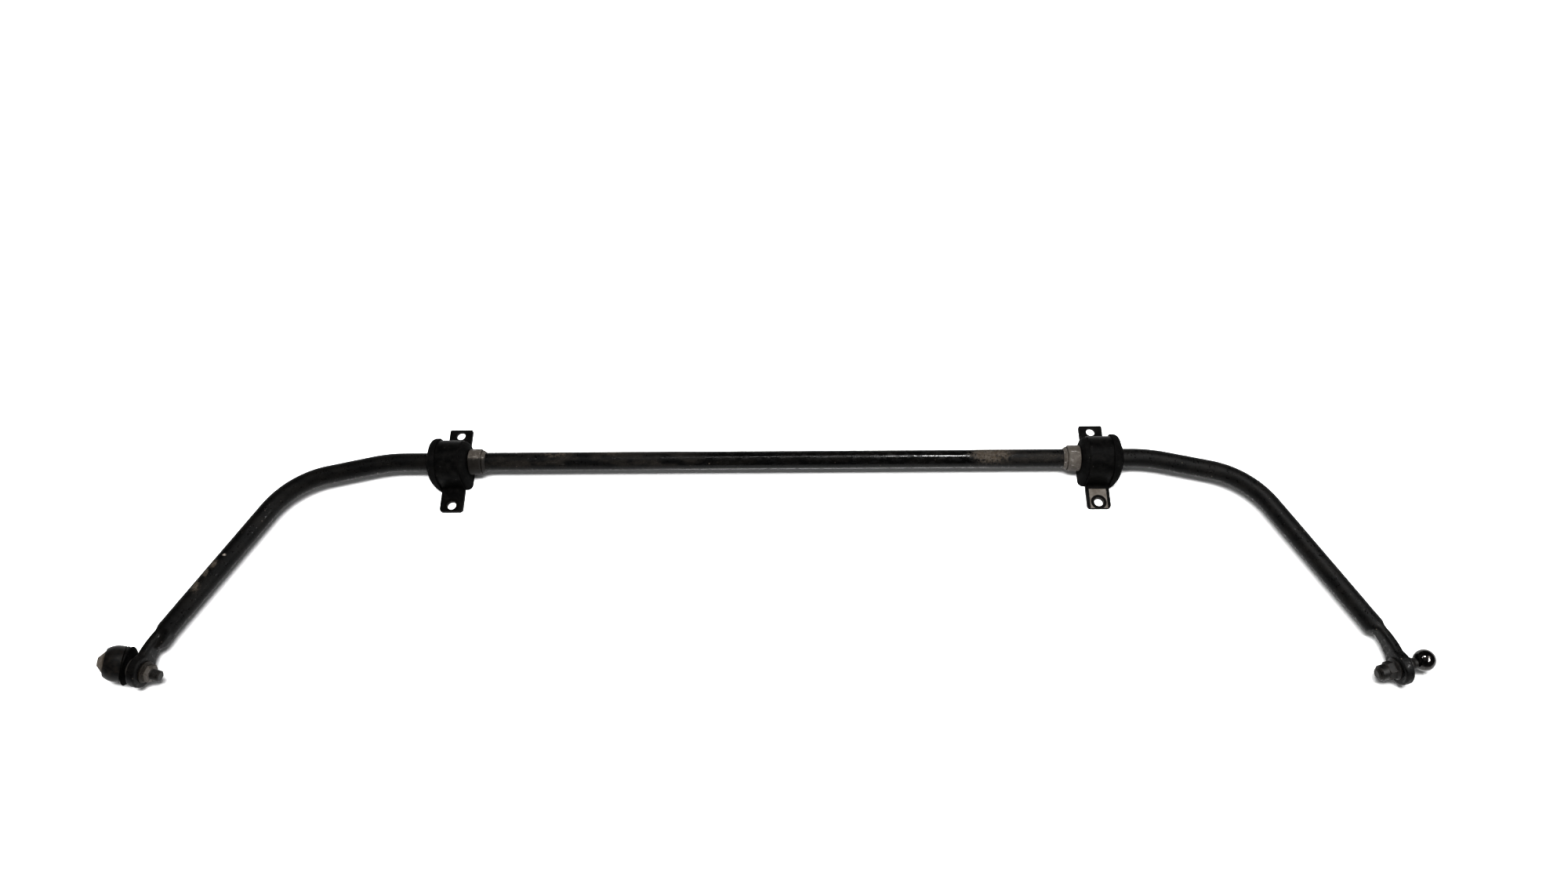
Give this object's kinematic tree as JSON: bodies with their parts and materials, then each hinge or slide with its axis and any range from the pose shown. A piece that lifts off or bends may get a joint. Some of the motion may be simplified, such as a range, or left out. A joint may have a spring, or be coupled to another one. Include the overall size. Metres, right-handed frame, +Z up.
{
  "type": "sway bar",
  "caption": "Bent round anti-roll bar with clamp brackets, rubber bushes, stop collars and link ball joints; it ties both sides of a suspension together in roll.",
  "frame": {"origin": "centre of the rectangle of four bracket bolt holes, on the plane that both brackets are bolted to", "axes": "+X along the bar towards the end with the bare ball, +Z up away from the mounting plane, and the arms reach towards -Y"},
  "size_m": [1.224, 0.2754, 0.0454],
  "materials": {
    "bar_paint": "worn semi-gloss black paint",
    "collar_metal": "dusty bare metal",
    "strap_paint": "satin black paint",
    "rubber": "matte black rubber",
    "liner_fabric": "woven low-friction fabric",
    "stud_steel": "bare steel, polished ball",
    "nut_zinc": "zinc plated, light rust",
    "nut_black": "black phosphate",
    "nylon": "nylon",
    "housing_black": "black coated steel",
    "seat_plastic": "acetal",
    "cap_metal": "pale grey metal",
    "ring_steel": "spring steel"
  },
  "bodies": {
    "bar": {"bar": "bar_paint", "left_collar": "collar_metal", "right_collar": "collar_metal", "left_ball_stud": "stud_steel", "left_stud_nut": "nut_zinc", "right_ball_stud": "stud_steel", "right_stud_nut": "nut_black", "right_nut_insert": "nylon"},
    "left_clamp": {"left_bracket": "strap_paint", "left_bushing": "rubber", "left_bushing_liner": "liner_fabric"},
    "right_clamp": {"right_bracket": "strap_paint", "right_bushing": "rubber", "right_bushing_liner": "liner_fabric"},
    "left_boot_ring": {"left_boot_small_ring": "ring_steel"},
    "left_socket": {"left_socket_housing": "housing_black", "left_ball_seat": "seat_plastic", "left_socket_cap": "cap_metal", "left_boot_large_ring": "ring_steel", "left_boot": "rubber"}
  },
  "joints": [
    {"name": "left_bracket_turn", "type": "hinge", "parent": "bar", "child": "left_clamp", "pos_m": [-0.32, 0, 0.022], "axis": [1, 0, 0], "continuous": true},
    {"name": "right_bracket_turn", "type": "hinge", "parent": "bar", "child": "right_clamp", "pos_m": [0.32, 0, 0.022], "axis": [1, 0, 0], "continuous": true},
    {"name": "left_ball_turn", "type": "hinge", "parent": "bar", "child": "left_boot_ring", "pos_m": [-0.60538, -0.20698, 0.022], "axis": [-0.9613, 0.2756, 0], "continuous": true},
    {"name": "left_ball_tilt", "type": "hinge", "parent": "left_boot_ring", "child": "left_socket", "pos_m": [-0.60538, -0.20698, 0.022], "axis": [0.2285, 0.7969, 0.5592], "range_deg": [-56, 0], "deforming": ["left_boot"]}
  ]
}
